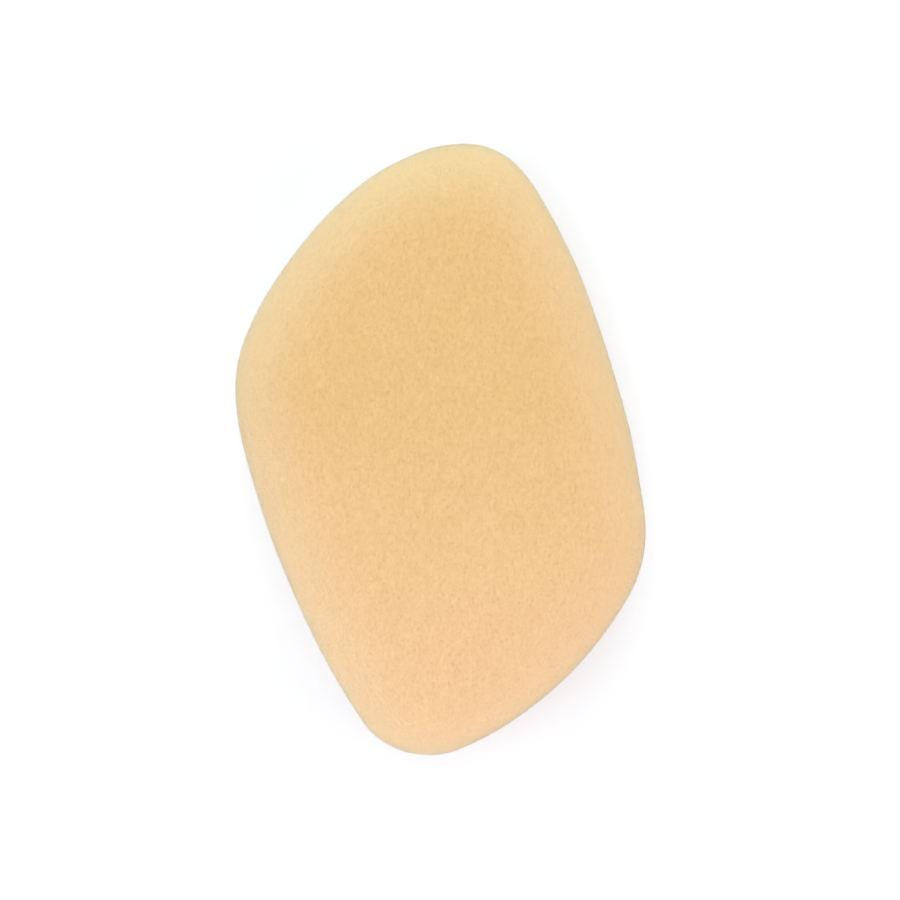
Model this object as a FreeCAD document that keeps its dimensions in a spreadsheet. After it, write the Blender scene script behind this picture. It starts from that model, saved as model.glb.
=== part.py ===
import FreeCAD, Part

import math
import os

import Sketcher
from FreeCAD import Vector

# A flocked makeup sponge: a lozenge-shaped foam pad with full round edges, a layer of flocking glue over all
# of it, and a velvet coat of short upright fibres over the glue. The sponge lies flat with its front face up.
# X is its width, Y its length from tip to tip and Z its thickness. The origin is under the middle of the
# outline, on the surface that the sponge lies on.

# Driving sizes, in millimetres.
SIZES = {
    # Over the fibres: tip to tip, shoulder to shoulder, and back face to front face.
    "sponge_length": 76.0,
    "sponge_width": 51.0,
    "sponge_thickness": 18.0,
    # What the rounding leaves: an upright strip round the rim, and at least this corner radius on each face.
    "edge_land": 0.4,
    # The fibre that stands out of the glue, and the glue with the foam cells that it fills.
    "pile_length": 0.8,
    "glue_thickness": 0.3,
    # The four rounded corners of the outline.
    "right_shoulder_radius": 16.8,
    "upper_tip_radius": 11.8,
    "left_shoulder_radius": 18.4,
    "lower_tip_radius": 10.0,
    # Where each corner's centre lies across the sponge's own middle lines.
    "right_shoulder_height": -10.0,
    "upper_tip_offset": 1.9,
    "left_shoulder_height": 7.1,
    "lower_tip_offset": -1.4,
    # The four bowed sides between the corners.
    "upper_right_side_radius": 116.0,
    "upper_left_side_radius": 45.0,
    "lower_left_side_radius": 115.0,
    "lower_right_side_radius": 46.0,
}

# Sizes and places that follow from the driving ones.
LAYOUT = {
    "right_shoulder_x": "=Sizes.sponge_width / 2 - Sizes.right_shoulder_radius",
    "right_shoulder_y": "=Sizes.right_shoulder_height",
    "upper_tip_x": "=Sizes.upper_tip_offset",
    "upper_tip_y": "=Sizes.sponge_length / 2 - Sizes.upper_tip_radius",
    "left_shoulder_x": "=Sizes.left_shoulder_radius - Sizes.sponge_width / 2",
    "left_shoulder_y": "=Sizes.left_shoulder_height",
    "lower_tip_x": "=Sizes.lower_tip_offset",
    "lower_tip_y": "=Sizes.lower_tip_radius - Sizes.sponge_length / 2",
    # How far each layer's outer surface lies inside the tips of the fibres.
    "pile_inset": "=0",
    "glue_inset": "=Sizes.pile_length",
    "core_inset": "=Sizes.pile_length + Sizes.glue_thickness",
    # The round of the edges takes up the whole thickness, as far as the sharper tip has room for it.
    "edge_radius": "=min((Sizes.sponge_thickness - Sizes.edge_land) / 2;"
    " Sizes.upper_tip_radius - Sizes.edge_land;"
    " Sizes.lower_tip_radius - Sizes.edge_land)",
}

# The outline runs counter-clockwise, and each side follows the corner that it is listed beside.
CORNERS = ("right_shoulder", "upper_tip", "left_shoulder", "lower_tip")
SIDES = ("upper_right_side", "upper_left_side", "lower_left_side", "lower_right_side")

START, END, CENTRE = 1, 2, 3
ORIGIN = (-1, 1)


def add_sheet(doc, name, rows):
    """A spreadsheet with one named cell for each row."""
    sheet = doc.addObject("Spreadsheet::Sheet", name)
    for number, (alias, text) in enumerate(rows.items(), start=1):
        sheet.set(f"A{number}", alias)
        sheet.set(f"B{number}", str(text))
        sheet.setAlias(f"B{number}", alias)
    doc.recompute()
    return sheet


def angle_from(centre, point):
    """The direction of a point as seen from a centre, in radians."""
    return math.atan2(point.y - centre.y, point.x - centre.x)


def arc_between(centre, radius, start, end):
    """The counter-clockwise arc between two directions."""
    if end < start:
        end += 2 * math.pi
    return Part.ArcOfCircle(Part.Circle(centre, Vector(0, 0, 1), radius), start, end)


def side_centre(corner, corner_radius, following, following_radius, radius):
    """The centre of a bowed side that runs smoothly out of one corner arc and into the next."""
    chord = following - corner
    reach = radius - corner_radius
    following_reach = radius - following_radius
    along = (reach**2 - following_reach**2 + chord.Length**2) / (2 * chord.Length)
    across = math.sqrt(reach**2 - along**2)
    forward = chord / chord.Length
    return corner + forward * along + Vector(-forward.y, forward.x, 0) * across


def outline_arcs(sizes, layout, inset):
    """Corner and side arcs in turn, set in from the sponge's outline by a layer's inset."""
    corners = [Vector(layout.get(f"{name}_x"), layout.get(f"{name}_y"), 0) for name in CORNERS]
    corner_radii = [sizes.get(f"{name}_radius") - inset for name in CORNERS]
    side_radii = [sizes.get(f"{name}_radius") - inset for name in SIDES]
    following = [1, 2, 3, 0]
    sides = [
        side_centre(corners[i], corner_radii[i], corners[j], corner_radii[j], side_radii[i])
        for i, j in enumerate(following)
    ]
    arcs = []
    for i, j in enumerate(following):
        arrive = angle_from(sides[i - 1], corners[i])
        leave = angle_from(sides[i], corners[i])
        meet = angle_from(sides[i], corners[j])
        arcs.append(arc_between(corners[i], corner_radii[i], arrive, leave))
        arcs.append(arc_between(sides[i], side_radii[i], leave, meet))
    return arcs


def drive(sketch, kind, elements, name, expression):
    """One named dimension of a sketch, bound to the sheets."""
    index = sketch.addConstraint(Sketcher.Constraint(kind, *elements))
    sketch.renameConstraint(index, name)
    sketch.setExpression(f"Constraints.{name}", expression)


def draw_outline(sketch, sizes, layout, layer):
    """Eight arcs, each running smoothly into the next, sized and placed by the sheets."""
    inset = f"Layout.{layer}_inset"
    arcs = outline_arcs(sizes, layout, layout.get(f"{layer}_inset"))
    sketch.addGeometry(arcs, False)
    for number in range(len(arcs)):
        following = (number + 1) % len(arcs)
        sketch.addConstraint(Sketcher.Constraint("Tangent", number, END, following, START))
    for number, (corner, side) in enumerate(zip(CORNERS, SIDES)):
        corner_arc, side_arc = 2 * number, 2 * number + 1
        centre = arcs[corner_arc].Center
        place = (*ORIGIN, corner_arc, CENTRE)
        drive(sketch, "DistanceX", (*place, centre.x), f"{corner}_x", f"Layout.{corner}_x")
        drive(sketch, "DistanceY", (*place, centre.y), f"{corner}_y", f"Layout.{corner}_y")
        for name, arc in ((corner, corner_arc), (side, side_arc)):
            radius = f"{name}_radius"
            drive(sketch, "Radius", (arc, arcs[arc].Radius), radius, f"Sizes.{radius} - {inset}")


def flat_faces(shape):
    """The names of a padded outline's two flat faces."""
    return [
        f"Face{number}"
        for number, face in enumerate(shape.Faces, start=1)
        if isinstance(face.Surface, Part.Plane)
    ]


def rounded_pad(doc, label, sizes, layout, layer):
    """A body in the sponge's outline, set in all round by a layer's inset, with both edges rounded."""
    body = doc.addObject("PartDesign::Body", label)
    inset = f"Layout.{layer}_inset"

    sketch = body.newObject("Sketcher::SketchObject", f"{label}_outline")
    floor = next(plane for plane in body.Origin.OriginFeatures if plane.Role == "XY_Plane")
    sketch.AttachmentSupport = [(floor, "")]
    sketch.MapMode = "FlatFace"
    sketch.setExpression("AttachmentOffset.Base.z", inset)
    draw_outline(sketch, sizes, layout, layer)

    pad = body.newObject("PartDesign::Pad", f"{label}_slab")
    pad.Profile = sketch
    pad.setExpression("Length", f"Sizes.sponge_thickness - 2 * {inset}")
    doc.recompute()

    edges = body.newObject("PartDesign::Fillet", f"{label}_edges")
    edges.Base = (pad, flat_faces(pad.Shape))
    edges.setExpression("Radius", f"Layout.edge_radius - {inset}")
    body.Tip = edges
    doc.recompute()
    return body


def coat(doc, label, envelope, filling):
    """A closed layer: what lies inside one body and outside the next one in."""
    layer = doc.addObject("Part::Cut", label)
    layer.Base = envelope
    layer.Tool = filling
    return layer


def check(doc, sub_parts):
    """Stops the build if an object failed, a sketch came loose or a sub-part isn't one sound solid."""
    for item in doc.Objects:
        if "Invalid" in item.State or "Error" in item.State:
            raise RuntimeError(f"{item.Label} failed: {item.State}")
        if item.isDerivedFrom("Sketcher::SketchObject") and not item.FullyConstrained:
            raise RuntimeError(f"{item.Label} isn't fully constrained")
    for item in sub_parts:
        shape = item.Shape
        if shape.isNull() or not shape.isValid() or len(shape.Solids) != 1 or shape.Volume <= 0:
            raise RuntimeError(f"{item.Label} isn't one sound solid")


def main():
    doc = FreeCAD.newDocument("makeup_sponge")
    sizes = add_sheet(doc, "Sizes", SIZES)
    layout = add_sheet(doc, "Layout", LAYOUT)

    pile_envelope = rounded_pad(doc, "pile_envelope", sizes, layout, "pile")
    glue_envelope = rounded_pad(doc, "glue_envelope", sizes, layout, "glue")
    foam_core = rounded_pad(doc, "foam_core", sizes, layout, "core")
    glue_coat = coat(doc, "glue_coat", glue_envelope, foam_core)
    flock_coat = coat(doc, "flock_coat", pile_envelope, glue_envelope)
    doc.recompute()

    sub_parts = (foam_core, glue_coat, flock_coat)
    check(doc, sub_parts)
    os.makedirs("parts", exist_ok=True)
    for item in sub_parts:
        item.Shape.exportStep(f"parts/{item.Label}.step")
        box = item.Shape.optimalBoundingBox(False, False)
        print(
            f"{item.Label}: {box.XLength:.2f} x {box.YLength:.2f} x {box.ZLength:.2f} mm,"
            f" {item.Shape.Volume:.1f} cubic mm"
        )


main()
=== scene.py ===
import math

import bmesh
import bpy
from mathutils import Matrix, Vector, noise


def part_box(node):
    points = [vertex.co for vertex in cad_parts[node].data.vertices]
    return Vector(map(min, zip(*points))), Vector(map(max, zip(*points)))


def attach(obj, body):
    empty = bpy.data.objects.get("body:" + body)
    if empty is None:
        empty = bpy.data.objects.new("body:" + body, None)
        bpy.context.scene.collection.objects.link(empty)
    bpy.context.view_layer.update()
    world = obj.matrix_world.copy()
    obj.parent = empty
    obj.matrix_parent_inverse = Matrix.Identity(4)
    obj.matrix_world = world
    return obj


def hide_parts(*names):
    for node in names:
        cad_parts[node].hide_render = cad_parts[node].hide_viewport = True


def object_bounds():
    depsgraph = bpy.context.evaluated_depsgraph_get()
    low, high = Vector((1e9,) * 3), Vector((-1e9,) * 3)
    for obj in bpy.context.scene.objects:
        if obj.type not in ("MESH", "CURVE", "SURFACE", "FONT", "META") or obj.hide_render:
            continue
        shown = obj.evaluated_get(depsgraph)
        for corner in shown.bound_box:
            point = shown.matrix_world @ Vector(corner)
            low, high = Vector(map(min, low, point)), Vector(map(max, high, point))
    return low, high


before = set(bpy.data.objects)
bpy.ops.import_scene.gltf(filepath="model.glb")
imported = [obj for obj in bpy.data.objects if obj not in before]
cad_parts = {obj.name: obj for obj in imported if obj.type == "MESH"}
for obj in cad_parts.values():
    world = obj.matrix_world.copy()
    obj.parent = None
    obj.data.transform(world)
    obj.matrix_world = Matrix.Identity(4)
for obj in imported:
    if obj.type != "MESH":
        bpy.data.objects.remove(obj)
cad_low, cad_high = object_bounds()

# A makeup sponge that lies on its back face: a foam pad, a film of glue over it, and a coat of flock, whose
# fibres stand in tufts out of a felted body.

# Lengths are in metres, and this is a millimetre.
MM = 0.001

# The photograph's framing: how large the sponge is in it and where the middle of its outline falls.
IMAGE_PIXELS = 900
PIXELS_PER_MM = 8.075
SPONGE_MIDDLE_PIXEL = (440, 450)
CAMERA_DISTANCE = 600 * MM

# How far each layer's surface lies inside the next one out.
PILE_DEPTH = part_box("flock_coat")[1].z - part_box("glue_coat")[1].z
GLUE_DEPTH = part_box("glue_coat")[1].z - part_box("foam_core")[1].z

# How far apart the corners of each layer's mesh lie.
FELT_SPACING = 0.5 * MM
GLUE_SPACING = 0.6 * MM
FOAM_SPACING = 0.55 * MM
# Corners that lie nearer to each other than this are one corner.
MERGE_GAP = 0.0001 * MM
# How wide a band is smoothed to ease the flat faces into the rounded edges, and how strong each pass is.
EASING_WIDTH = 5 * MM
EASING_STRENGTH = 0.5

# Where the moulded rim stands out from the plain outline or lies inside it: the direction from the sponge's
# middle in degrees, how far, and how many degrees it spreads to each side.
RIM_MOULDING = {
    "right side": (6, 0.12 * MM, 8),
    "upper right side": (54, 0.28 * MM, 8),
    "flat beside the upper tip": (71, -0.18 * MM, 3),
    "upper tip": (80, 0.28 * MM, 5),
    "hollow beside the upper tip": (92, -0.24 * MM, 5),
    "brow": (105, 0.22 * MM, 6),
    "upper left side": (128, -0.12 * MM, 7),
    "left shoulder": (168, -0.18 * MM, 6),
    "lower left side": (242, 0.1 * MM, 5),
    "lower tip": (268, -0.2 * MM, 7),
}
# How far from the sponge's middle the moulding reaches its full height.
MOULDING_START = 10 * MM

# The coat's felted body: how far it lies inside the tips of the fibres, and off the floor.
FELT_INSET = 0.16 * MM
FELT_CLEARANCE = 0.12 * MM
# Soft unevenness of its surface: how wide each kind of wave is, and how high.
FELT_WAVES = ((9 * MM, 0.06 * MM), (1.4 * MM, 0.02 * MM))
# How thick it is, clear of the glue where a wave dips.
FELT_WALL = PILE_DEPTH - FELT_INSET - sum(height for _, height in FELT_WAVES)

# How far apart the tufts of fibre stand on the felt, and how many places are tried for each.
TUFT_GAP = 0.17 * MM
TUFT_TRIES = 4
# The spike that a tuft is: how thick its foot is, and how far it stands out of the felt and down into it.
TUFT_RADIUS = 0.05 * MM
TUFT_LENGTH = 0.2 * MM
TUFT_ROOT = 0.06 * MM
TUFT_SIDES = 3
# The smallest and the largest tuft, as shares of that size.
TUFT_SIZES = (0.7, 1.25)
# How far the tufts lean towards the sponge's lower end, and how much each strays from that.
NAP_LEAN = Vector((0, -0.15, 0))
NAP_STRAY = Vector((0.35, 0.35, 0.35))
# Under the sponge its weight presses the tufts down to this share, below the height where they stand free.
PRESSED_SHARE = 0.25
FREE_HEIGHT = 0.5 * MM
# Where the tufts of the edges end and those of the two faces begin, as the surface's upward slope.
EDGE_SLOPE = 0.8
# Each tuft's share of painted sheen, from 0 on the faces to 1 at the rim, and how much it varies from tuft
# to tuft.
TUFT_SHEEN_AND_TONE = "tuft_shade"
SHADE_STRAY = 0.5
# The map that the tufts' colours are laid out on.
COLOUR_MAP = "OFBake"
# Where the corners of a tuft's face lie in the square of the map that the tuft has to itself.
FACE_LAYOUT = ((0.1, 0.1), (0.9, 0.1), (0.5, 0.9))
# Each piece of tufts has its own seed, and each of its random values comes from one a little past that.
SEED_STEP = 10
LEAN_SEED = 1
SHADE_SEED = 2
SIZE_SEED = 3

# Lumps on the foam, where its skin follows the cells under it.
FOAM_LUMP_SIZE = 1.2 * MM
FOAM_LUMP_HEIGHT = 0.12 * MM

# How rough the fibres are, and how much rougher where the felt's grain stands up.
FIBRE_ROUGHNESS = 0.9
GRAIN_ROUGHNESS = 0.1
# The felt's grain, drawn out along the nap, and the pits between its fibres, dark with painted shade.
NAP_STRETCH = (1, 1.5, 1)
GRAIN_SIZE = 0.42 * MM
GRAIN_DEPTH = 0.1 * MM
PIT_SIZE = 0.35 * MM
PIT_START = 0.62
PIT_FULL = 0.8
PIT_DARKNESS = 0.36
# Where painted light from below turns the coat paler and rosier towards its lower end, and how cloudy that
# is.
LOWER_LIGHT_START = 8 * MM
LOWER_LIGHT_FULL = -26 * MM
CLOUD_SIZE = 7 * MM
CLOUD_SHARE = 0.4
# Where painted light pales the felt towards the upper tip, and how much it takes on the painted light of
# the tip and the painted sheen of the rim.
TIP_LIGHT_START = 26 * MM
TIP_LIGHT_FULL = 33 * MM
TIP_LIGHT_SHARE = 0.3
RIM_SHEEN_SHARE = 0.5
# How wide a patch of tufts shares a shade, and how far that shifts it.
PATCH_SIZE = 0.6 * MM
PATCH_SHARE = 0.3

# Glue that was rolled on unevenly and is rougher where it lies thick, with the roots of the fibres in it.
ROLLED_SIZE = 2.5 * MM
GLUE_ROUGHNESS = 0.35
ROLLED_ROUGHNESS = 0.3
ROOT_SIZE = 0.3 * MM
ROOT_SHARE = 0.4
GLUE_RELIEF = 0.1 * MM

# The foam's cells, darker inside with painted shade, and how far from its wall a cell is at its darkest, as
# a share of its size.
CELL_SIZE = 0.7 * MM
CELL_EDGE = 0.33
CELL_DEPTH = 0.2 * MM

# Colours, as linear red, green and blue with full cover.
FLOCK_DEEP = (0.735, 0.468, 0.198, 1)
FLOCK_PALE = (0.90, 0.618, 0.297, 1)
# Painted light from below: the felt's paler, rosier colours towards its lower end.
LOWER_LIT_DEEP = (0.835, 0.515, 0.263, 1)
LOWER_LIT_PALE = (0.985, 0.668, 0.381, 1)
# Painted light on the felt of the upper tip.
FLOCK_TIP_LIGHT = (0.82, 0.66, 0.31, 1)
# Painted sheen on the felt of the rim.
FLOCK_RIM_SHEEN = (0.90, 0.65, 0.385, 1)
# Painted shade in the felt's pits.
FLOCK_PIT_SHADE = (0.62, 0.38, 0.16, 1)
FACE_TUFT = (0.89, 0.64, 0.34, 1)
# Painted light from below on the tufts of the lower end, and painted sheen on the tufts of the rim.
LOWER_LIT_TUFT = (0.91, 0.64, 0.355, 1)
RIM_SHEEN_TUFT = (0.82, 0.69, 0.50, 1)
VELVET_TINT = (0.8, 1.0, 0.9, 1)
GLUE_THIN = (0.80, 0.58, 0.30, 1)
GLUE_THICK = (0.68, 0.44, 0.20, 1)
FOAM_WALL = (0.90, 0.70, 0.42, 1)
# Painted shade inside the foam's cells.
FOAM_CELL_SHADE = (0.62, 0.40, 0.19, 1)
STUDIO_WHITE = (1, 1, 1, 1)

# Softboxes: where each stands in metres, the light that it puts on a surface facing it, and its tint.
SOFTBOX_SIZE = 0.5
SOFTBOXES = {
    "key_softbox": ((-0.07, 0.07, 0.8), 0.2, (1, 1, 1)),
    "top_softbox": ((0.02, 0.6, 0.25), 0.57, (0.84, 1, 0.96)),
    "left_softbox": ((-0.6, -0.14, 0.25), 0.39, (0.93, 1, 1.04)),
    "right_softbox": ((0.6, -0.08, 0.25), 0.31, (1.08, 0.94, 0.83)),
    "bottom_softbox": ((0.03, -0.6, 0.25), 0.36, (1, 1, 1.08)),
}
STUDIO_LIGHT = 0.42

# The floor as the light sees it, and as the camera does: part shaded, part white of its own.
FLOOR_SIZE = 3
FLOOR_COLOUR = (0.8, 0.8, 0.8, 1)
FLOOR_SHADED = (0.58, 0.61, 0.67, 1)
FLOOR_WHITE = 0.42


class Signal:
    """A socket's value in a node tree. Arithmetic on it adds Math nodes to that tree."""

    def __init__(self, graph, socket):
        self.graph = graph
        self.socket = socket

    def beside(self, name):
        """Another output of the same node."""
        return Signal(self.graph, self.socket.node.outputs[name])

    def math(self, operation, first, second):
        """What a Math node makes of two values, one of which is this one."""
        return self.graph.add("ShaderNodeMath", {"operation": operation}, {0: first, 1: second})

    def __add__(self, other):
        return self.math("ADD", self, other)

    def __radd__(self, other):
        return self.math("ADD", other, self)

    def __sub__(self, other):
        return self.math("SUBTRACT", self, other)

    def __rsub__(self, other):
        return self.math("SUBTRACT", other, self)

    def __mul__(self, other):
        return self.math("MULTIPLY", self, other)

    def __rmul__(self, other):
        return self.math("MULTIPLY", other, self)

    def __gt__(self, other):
        return self.math("GREATER_THAN", self, other)

    def __lt__(self, other):
        return self.math("LESS_THAN", self, other)

    def __or__(self, other):
        return self.math("MAXIMUM", self, other)

    def __ror__(self, other):
        return self.math("MAXIMUM", other, self)


class Graph:
    """A node tree that is built one node at a time."""

    def __init__(self, tree):
        self.tree = tree

    def add(self, kind, settings=None, sockets=None, output=0):
        """Adds a node, set up before its sockets are filled or linked, and gives one of its outputs."""
        node = self.tree.nodes.new(kind)
        for name, value in (settings or {}).items():
            setattr(node, name, value)
        for name, value in (sockets or {}).items():
            if isinstance(value, Signal):
                self.tree.links.new(value.socket, node.inputs[name])
            else:
                node.inputs[name].default_value = value
        return Signal(self, node.outputs[output]) if len(node.outputs) else None

    def mix(self, amount, first, second):
        """A colour between two others. The node's sockets share their names, so they go by number."""
        settings = {"data_type": "RGBA", "clamp_factor": True}
        return self.add("ShaderNodeMix", settings, {0: amount, 6: first, 7: second}, output=2)

    def ramp(self, value, start, end, low=0.0, high=1.0):
        """Goes from low to high as a value goes from start to end."""
        sockets = {"Value": value, "From Min": start, "From Max": end, "To Min": low, "To Max": high}
        return self.add("ShaderNodeMapRange", {"clamp": True}, sockets)

    def noise(self, place, size, detail):
        """Soft noise from 0 to 1 whose blobs are about as wide as the given size."""
        return self.add("ShaderNodeTexNoise", {}, {"Vector": place, "Scale": 1 / size, "Detail": detail})

    def drift(self, place, size, detail, reach):
        """Soft noise about 0, from half its reach below to half its reach above."""
        return (self.noise(place, size, detail) - 0.5) * reach

    def place(self, stretch=(1, 1, 1)):
        """A point on the piece, in metres, with its pattern drawn out by a stretch along each axis."""
        point = self.add("ShaderNodeTexCoord", output="Object")
        scale = [1 / factor for factor in stretch]
        return self.add("ShaderNodeMapping", {}, {"Vector": point, "Scale": scale})

    def axis(self, vector, name):
        """One axis of a vector."""
        return self.add("ShaderNodeSeparateXYZ", {}, {"Vector": vector}, output=name)

    def relief(self, height, depth, strength):
        """A normal that follows bumps of the given height, from 0 to 1 over a depth in metres."""
        return self.add("ShaderNodeBump", {}, {"Height": height, "Distance": depth, "Strength": strength})

    def chance(self, low, high, seed):
        """A random number for each point. The node's sockets share their names, so they go by number."""
        sockets = {2: low, 3: high, "Seed": seed}
        return self.add("FunctionNodeRandomValue", {"data_type": "FLOAT"}, sockets, output=1)


def new_material(name, finish):
    """A material with the shader that a function builds in its node tree."""
    made = bpy.data.materials.new(name)
    made.use_nodes = True
    made.node_tree.nodes.clear()
    graph = Graph(made.node_tree)
    graph.add("ShaderNodeOutputMaterial", {}, {"Surface": finish(graph)})
    return made


def painted_lower_light(graph):
    """Painted light from below: 0 over the upper part of the sponge, rising to 1 at its lower end."""
    return graph.ramp(graph.axis(graph.place(), "Y"), LOWER_LIGHT_START, LOWER_LIGHT_FULL)


def turned_aside(slope):
    """0 on the two faces, rising quickly over the rounded edge to 1 at the rim."""
    squared = slope * slope
    to_the_fourth = squared * squared
    return 1 - to_the_fourth * to_the_fourth


def felt_finish(graph):
    """Felted fibre: fine grain drawn out along the nap, with pits dark with painted shade, painted light
    that turns it rosier to the lower end and paler to the upper tip, and painted sheen that pales the rim.
    """
    along_nap = graph.place(stretch=NAP_STRETCH)
    grain = graph.noise(along_nap, GRAIN_SIZE, detail=1)
    pits = graph.ramp(graph.noise(along_nap, PIT_SIZE, detail=0), PIT_START, PIT_FULL)
    cloud = graph.drift(graph.place(), CLOUD_SIZE, detail=3, reach=CLOUD_SHARE)
    upper_body = graph.mix(grain, FLOCK_DEEP, FLOCK_PALE)
    lower_lit_body = graph.mix(grain, LOWER_LIT_DEEP, LOWER_LIT_PALE)
    # Painted light from below turns the felt paler and rosier towards its lower end.
    body = graph.mix(painted_lower_light(graph) + cloud, upper_body, lower_lit_body)
    # Painted shade: the pits between the fibres are dark.
    pit_shaded = graph.mix(pits * PIT_DARKNESS, body, FLOCK_PIT_SHADE)
    # Painted light: the felt turns paler towards the upper tip.
    tip_light_mask = graph.ramp(graph.axis(graph.place(), "Y"), TIP_LIGHT_START, TIP_LIGHT_FULL)
    tip_lit = graph.mix(tip_light_mask * TIP_LIGHT_SHARE, pit_shaded, FLOCK_TIP_LIGHT)
    # On a full round edge the upward slope follows the height.
    slope = graph.ramp(graph.axis(graph.place(), "Z"), cad_low.z, cad_high.z, -1, 1)
    # Painted sheen: the felt is paler the more its surface turns aside towards the rim.
    rim_sheened = graph.mix(turned_aside(slope) * RIM_SHEEN_SHARE, tip_lit, FLOCK_RIM_SHEEN)
    velvet = {
        "Base Color": rim_sheened,
        "Roughness": FIBRE_ROUGHNESS + grain * GRAIN_ROUGHNESS,
        "Normal": graph.relief(grain, GRAIN_DEPTH, strength=0.8),
        "Specular IOR Level": 0.1,
        "Sheen Weight": 0.6,
        "Sheen Roughness": 0.4,
        "Sheen Tint": VELVET_TINT,
    }
    return graph.add("ShaderNodeBsdfPrincipled", {}, velvet)


def tuft_finish(graph):
    """A blend of fibres: each tuft has a colour of its own, paler at the rim with painted sheen and rosier
    to the lower end with painted light from below.
    """
    shade = graph.add("ShaderNodeAttribute", {"attribute_name": TUFT_SHEEN_AND_TONE}, output="Fac")
    patch = graph.drift(graph.place(), PATCH_SIZE, detail=1, reach=PATCH_SHARE)
    face = graph.mix(painted_lower_light(graph), FACE_TUFT, LOWER_LIT_TUFT)
    fibre = {
        # Painted sheen pales the tufts at the rim, and painted light from below makes them rosier to the
        # lower end.
        "Base Color": graph.mix(shade + patch, face, RIM_SHEEN_TUFT),
        "Roughness": FIBRE_ROUGHNESS,
        "Specular IOR Level": 0.1,
    }
    return graph.add("ShaderNodeBsdfPrincipled", {}, fibre)


def glue_finish(graph):
    """A flexible film of glue, rolled on unevenly and full of fibre roots."""
    rolled = graph.noise(graph.place(), ROLLED_SIZE, detail=4)
    roots = graph.noise(graph.place(), ROOT_SIZE, detail=1)
    film = {
        "Base Color": graph.mix(rolled, GLUE_THIN, GLUE_THICK),
        "Roughness": GLUE_ROUGHNESS + rolled * ROLLED_ROUGHNESS,
        "Normal": graph.relief(rolled + roots * ROOT_SHARE, GLUE_RELIEF, strength=0.6),
        "Coat Weight": 0.15,
        "Coat Roughness": 0.4,
    }
    return graph.add("ShaderNodeBsdfPrincipled", {}, film)


def foam_finish(graph):
    """Open-cell foam: pale walls round cells that are darker with painted shade."""
    cells = {"Vector": graph.place(), "Scale": 1 / CELL_SIZE}
    from_wall = graph.add("ShaderNodeTexVoronoi", {"feature": "DISTANCE_TO_EDGE"}, cells)
    opening = graph.ramp(from_wall, 0, CELL_EDGE)
    foam = {
        "Base Color": graph.mix(opening, FOAM_WALL, FOAM_CELL_SHADE),
        "Roughness": 0.9,
        "Normal": graph.relief(1 - opening, CELL_DEPTH, strength=0.8),
        "Specular IOR Level": 0.2,
    }
    return graph.add("ShaderNodeBsdfPrincipled", {}, foam)


def add_object(name, content):
    """An object of the scene, at its origin."""
    made = bpy.data.objects.new(name, content)
    bpy.context.scene.collection.objects.link(made)
    return made


def new_mesh(name, shape, material):
    """A smoothly shaded mesh from a bmesh, which it uses up."""
    mesh = bpy.data.meshes.new(name)
    shape.to_mesh(mesh)
    shape.free()
    mesh.shade_smooth()
    mesh.materials.append(material)
    return mesh


def finished_mesh(piece):
    """The mesh that a piece's modifiers give."""
    layers = bpy.context.evaluated_depsgraph_get()
    return bpy.data.meshes.new_from_object(piece.evaluated_get(layers))


def hollow(piece, wall):
    """Turns a closed skin into a shell that is as thick as its wall, measured inwards."""
    shell = piece.modifiers.new("wall", "SOLIDIFY")
    shell.thickness = wall
    shell.offset = -1


def outer_skin(node):
    """The outer surface of a layer, as a bmesh with its corners merged."""
    shape = bmesh.new()
    shape.from_mesh(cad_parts[node].data)
    bmesh.ops.remove_doubles(shape, verts=shape.verts, dist=MERGE_GAP)
    lowest = min(shape.verts, key=lambda corner: corner.co.z)
    outer = {lowest}
    ahead = [lowest]
    while ahead:
        corner = ahead.pop()
        found = {edge.other_vert(corner) for edge in corner.link_edges} - outer
        outer |= found
        ahead += found
    inner = [corner for corner in shape.verts if corner not in outer]
    bmesh.ops.delete(shape, geom=inner, context="VERTS")
    return shape


def even_skin(node, spacing):
    """A layer's outer surface in even quads, as a bmesh."""
    rough = bpy.data.meshes.new("rough_skin")
    skin = outer_skin(node)
    skin.to_mesh(rough)
    skin.free()
    helper = add_object("rough_skin", rough)
    remesh = helper.modifiers.new("even_quads", "REMESH")
    remesh.mode = "VOXEL"
    remesh.voxel_size = spacing
    even = finished_mesh(helper)
    shape = bmesh.new()
    shape.from_mesh(even)
    bpy.data.objects.remove(helper)
    bpy.data.meshes.remove(rough)
    bpy.data.meshes.remove(even)
    return shape


def ease(shape, spacing):
    """Softens the line where the flat faces meet the rounded edges, and leaves the outline."""
    upright = {"use_axis_x": False, "use_axis_y": False, "use_axis_z": True}
    for _ in range(round((EASING_WIDTH / spacing) ** 2)):
        bmesh.ops.smooth_vert(shape, verts=shape.verts, factor=EASING_STRENGTH, **upright)


def moulding(heading):
    """How far the rim stands out in one direction from the sponge's middle."""
    reach = 0
    for direction, height, spread in RIM_MOULDING.values():
        turn = (heading - direction + 180) % 360 - 180
        reach += height * math.exp(-((turn / spread) ** 2) / 2)
    return reach


def mould_rim(shape):
    """Draws the rim out and in to the outline of this one sponge."""
    for corner in shape.verts:
        out = corner.co.xy
        reach = moulding(math.degrees(math.atan2(out.y, out.x))) * min(1, out.length / MOULDING_START)
        corner.co.xy = out + out.normalized() * reach


def moulded_skin(node, spacing):
    """A layer's outer surface, eased and drawn to the outline as the foam under it is."""
    shape = even_skin(node, spacing)
    ease(shape, spacing)
    mould_rim(shape)
    return shape


def swell(shape, height_at):
    """Moves each corner of a surface out along its normal, or in where the height is less than nothing."""
    shape.normal_update()
    moves = [corner.normal * height_at(corner.co) for corner in shape.verts]
    for corner, move in zip(shape.verts, moves):
        corner.co += move


def ripple(shape, width, height):
    """Moves a surface in and out by soft noise."""
    swell(shape, lambda place: noise.noise(place / width) * height)


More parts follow.
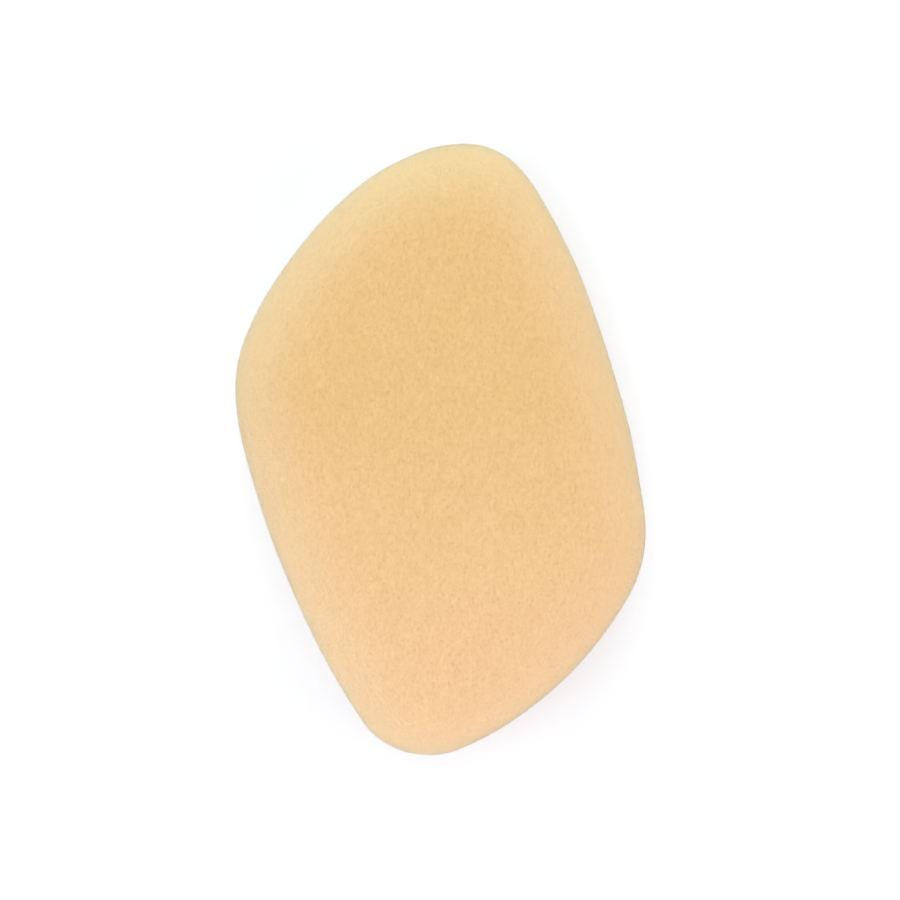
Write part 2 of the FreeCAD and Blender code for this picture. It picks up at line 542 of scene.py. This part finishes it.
def flock_felt():
    """The felted body of the coat: a soft closed shell with its own faint unevenness."""
    shape = moulded_skin("flock_coat", FELT_SPACING)
    swell(shape, lambda place: -FELT_INSET)
    for width, height in FELT_WAVES:
        ripple(shape, width, height)
    for corner in shape.verts:
        corner.co.z = max(corner.co.z, FELT_CLEARANCE)
    mesh = new_mesh("flock_felt", shape, new_material("flock_felt", felt_finish))
    felt = add_object("flock_felt", mesh)
    hollow(felt, FELT_WALL)
    return felt


def fibre_spike():
    """The spike that every tuft is a copy of, with its faces laid out over one square of the colour map."""
    shape = bmesh.new()
    bmesh.ops.create_cone(
        shape,
        cap_ends=True,
        segments=TUFT_SIDES,
        radius1=TUFT_RADIUS,
        radius2=0,
        depth=TUFT_LENGTH + TUFT_ROOT,
    )
    bmesh.ops.remove_doubles(shape, verts=shape.verts, dist=MERGE_GAP)
    bmesh.ops.translate(shape, verts=shape.verts, vec=(0, 0, (TUFT_LENGTH - TUFT_ROOT) / 2))
    layout = shape.loops.layers.uv.new(COLOUR_MAP)
    for face in shape.faces:
        for corner, spot in zip(face.loops, FACE_LAYOUT):
            corner[layout].uv = spot
    mesh = new_mesh("fibre_spike", shape, new_material("flock_tufts", tuft_finish))
    return bpy.data.objects.new("fibre_spike", mesh)


def tuft_points(graph, region, seed):
    """Points spread about evenly over one region of the surface that the node tree is given."""
    slope = graph.axis(graph.add("GeometryNodeInputNormal"), "Z")
    spread = {
        "Mesh": graph.add("NodeGroupInput", output="Geometry"),
        "Selection": region(slope),
        "Distance Min": TUFT_GAP,
        "Density Max": TUFT_TRIES / TUFT_GAP**2,
        "Seed": seed,
    }
    return graph.add("GeometryNodeDistributePointsOnFaces", {"distribute_method": "POISSON"}, spread)


def tuft_turn(graph, upright, seed):
    """Turns each tuft to lean along the nap, and a little astray."""
    limits = {0: NAP_LEAN - NAP_STRAY, 1: NAP_LEAN + NAP_STRAY, "Seed": seed}
    lean = graph.add("FunctionNodeRandomValue", {"data_type": "FLOAT_VECTOR"}, limits)
    leaning = graph.add("ShaderNodeVectorMath", {"operation": "ADD"}, {0: upright, 1: lean})
    return graph.add("FunctionNodeAlignRotationToVector", {"axis": "Z"}, {"Vector": leaning})


def tuft_size(graph, seed):
    """Gives each tuft a size of its own, less where the sponge lies on it."""
    height = graph.axis(graph.add("GeometryNodeInputPosition"), "Z")
    pressed = graph.ramp(height, FELT_CLEARANCE, FREE_HEIGHT, PRESSED_SHARE, 1)
    return graph.chance(*TUFT_SIZES, seed) * pressed


def tuft_planting(name, spike, region, seed):
    """A node tree that sets leaning tufts, each with its share of painted rim sheen, over one region of a
    surface.
    """
    tree = bpy.data.node_groups.new(name, "GeometryNodeTree")
    tree.interface.new_socket("Geometry", in_out="INPUT", socket_type="NodeSocketGeometry")
    tree.interface.new_socket("Geometry", in_out="OUTPUT", socket_type="NodeSocketGeometry")
    graph = Graph(tree)
    points = tuft_points(graph, region, seed)
    upright = points.beside("Normal")
    # Painted sheen: a tuft is paler the more the surface turns aside, give or take a random stray.
    stray = graph.chance(-SHADE_STRAY, SHADE_STRAY, seed + SHADE_SEED)
    shade = turned_aside(graph.axis(upright, "Z")) + stray
    note = {"Geometry": points, "Name": TUFT_SHEEN_AND_TONE, "Value": shade}
    planting = {
        "Points": graph.add("GeometryNodeStoreNamedAttribute", {"data_type": "FLOAT"}, note),
        "Instance": graph.add("GeometryNodeObjectInfo", {}, {"Object": spike}, output="Geometry"),
        "Rotation": tuft_turn(graph, upright, seed + LEAN_SEED),
        "Scale": tuft_size(graph, seed + SIZE_SEED),
    }
    copies = graph.add("GeometryNodeInstanceOnPoints", {}, planting)
    tufts = graph.add("GeometryNodeRealizeInstances", {}, {"Geometry": copies})
    graph.add("NodeGroupOutput", {}, {"Geometry": tufts})
    return tree


def lay_out(tufts):
    """Moves each tuft of a mesh to its own square of the colour map, row by row."""
    corners = len(FACE_LAYOUT) * (TUFT_SIDES + 1)
    across = math.ceil(math.sqrt(len(tufts.loops) / corners))
    for number, spot in enumerate(tufts.uv_layers[COLOUR_MAP].uv):
        row, column = divmod(number // corners, across)
        spot.vector = (spot.vector + Vector((column, row))) / across


def planted(name, felt, planting):
    """One piece of tufts, set over the felt by a node tree, which it uses up."""
    helper = add_object("planted_felt", felt.data)
    helper.modifiers.new("planting", "NODES").node_group = planting
    mesh = finished_mesh(helper)
    mesh.name = name
    lay_out(mesh)
    bpy.data.objects.remove(helper)
    bpy.data.node_groups.remove(planting)
    return add_object(name, mesh)


def flock_tufts(felt):
    """The tufts over the two faces and the two halves of the edge, as four pieces."""
    regions = {
        "flock_front": lambda slope: slope > EDGE_SLOPE,
        "flock_front_edge": lambda slope: (slope > 0) * (slope < EDGE_SLOPE),
        "flock_back_edge": lambda slope: (slope > -EDGE_SLOPE) * (slope < 0),
        "flock_back": lambda slope: slope < -EDGE_SLOPE,
    }
    spike = fibre_spike()
    tufts = []
    for number, (name, region) in enumerate(regions.items()):
        planting = tuft_planting(name, spike, region, SEED_STEP * number)
        tufts.append(planted(name, felt, planting))
    bpy.data.objects.remove(spike)
    return tufts


def glue_film():
    """The glue between the fibres and the foam, a thin closed shell."""
    shape = moulded_skin("glue_coat", GLUE_SPACING)
    mesh = new_mesh("glue_film", shape, new_material("glue_film", glue_finish))
    film = add_object("glue_film", mesh)
    hollow(film, GLUE_DEPTH)
    return film


def foam_pad():
    """The foam core, with a skin as lumpy as its cells."""
    shape = moulded_skin("foam_core", FOAM_SPACING)
    swell(shape, lambda place: -FOAM_LUMP_HEIGHT)
    ripple(shape, FOAM_LUMP_SIZE, FOAM_LUMP_HEIGHT)
    mesh = new_mesh("foam_pad", shape, new_material("foam_cells", foam_finish))
    return add_object("foam_pad", mesh)


def seen_directly(graph):
    """1 for what the camera sees, straight or in a mirror or glass, and 0 for the light on the sponge."""
    straight = graph.add("ShaderNodeLightPath", output="Is Camera Ray")
    return straight | straight.beside("Is Glossy Ray") | straight.beside("Is Transmission Ray")


def floor_finish(graph):
    """White to the camera apart from the sponge's shadow, and plain to the light."""
    plain = graph.add("ShaderNodeBsdfDiffuse", {}, {"Color": FLOOR_COLOUR})
    shaded = graph.add("ShaderNodeBsdfDiffuse", {}, {"Color": FLOOR_SHADED})
    white = graph.add("ShaderNodeEmission", {}, {"Strength": FLOOR_WHITE})
    seen = graph.add("ShaderNodeAddShader", {}, {0: shaded, 1: white})
    return graph.add("ShaderNodeMixShader", {}, {0: seen_directly(graph), 1: plain, 2: seen})


def add_floor():
    """A plain pale floor that the sponge lies on."""
    shape = bmesh.new()
    bmesh.ops.create_grid(shape, x_segments=1, y_segments=1, size=FLOOR_SIZE)
    mesh = new_mesh("floor", shape, new_material("pale_floor", floor_finish))
    add_object("floor", mesh)


def add_world():
    """An even white studio that lights the sponge gently and looks white."""
    world = bpy.data.worlds.new("studio")
    world.use_nodes = True
    world.node_tree.nodes.clear()
    graph = Graph(world.node_tree)
    strength = STUDIO_LIGHT + seen_directly(graph) * (1 - STUDIO_LIGHT)
    light = graph.add("ShaderNodeBackground", {}, {"Color": STUDIO_WHITE, "Strength": strength})
    graph.add("ShaderNodeOutputWorld", {}, {"Surface": light})
    bpy.context.scene.world = world


def add_softbox(name, place, level, tint):
    """A round softbox aimed at the sponge. At level 1 a surface that faces it shows its own colour."""
    place = Vector(place)
    lamp = bpy.data.lights.new(name, "AREA")
    lamp.shape = "DISK"
    lamp.size = SOFTBOX_SIZE
    lamp.energy = level * (math.pi * place.length) ** 2
    lamp.color = tint
    made = add_object(name, lamp)
    made.location = place
    made.rotation_euler = (-place).to_track_quat("-Z", "Y").to_euler()


def add_camera():
    """Straight down on the front face, at the photograph's scale."""
    middle = (cad_low + cad_high) / 2
    across = (IMAGE_PIXELS / 2 - SPONGE_MIDDLE_PIXEL[0]) / PIXELS_PER_MM * MM
    along = (SPONGE_MIDDLE_PIXEL[1] - IMAGE_PIXELS / 2) / PIXELS_PER_MM * MM
    camera = bpy.data.cameras.new("camera")
    camera.lens = camera.sensor_width * CAMERA_DISTANCE / (IMAGE_PIXELS / PIXELS_PER_MM * MM)
    made = add_object("camera", camera)
    made.location = middle + Vector((across, along, CAMERA_DISTANCE))
    bpy.context.scene.camera = made


def stand_for(piece, node):
    """Draws a piece in place of a layer, on the sponge's root body. Nothing on the sponge moves."""
    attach(piece, "root")
    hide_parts(node)


felt = flock_felt()
tufts = flock_tufts(felt)
glue = glue_film()
foam = foam_pad()

for piece in (felt, *tufts):
    stand_for(piece, "flock_coat")
stand_for(glue, "glue_coat")
stand_for(foam, "foam_core")

add_floor()
add_world()
for name, (place, level, tint) in SOFTBOXES.items():
    add_softbox(name, place, level, tint)
add_camera()
bpy.context.scene.view_settings.view_transform = "Standard"
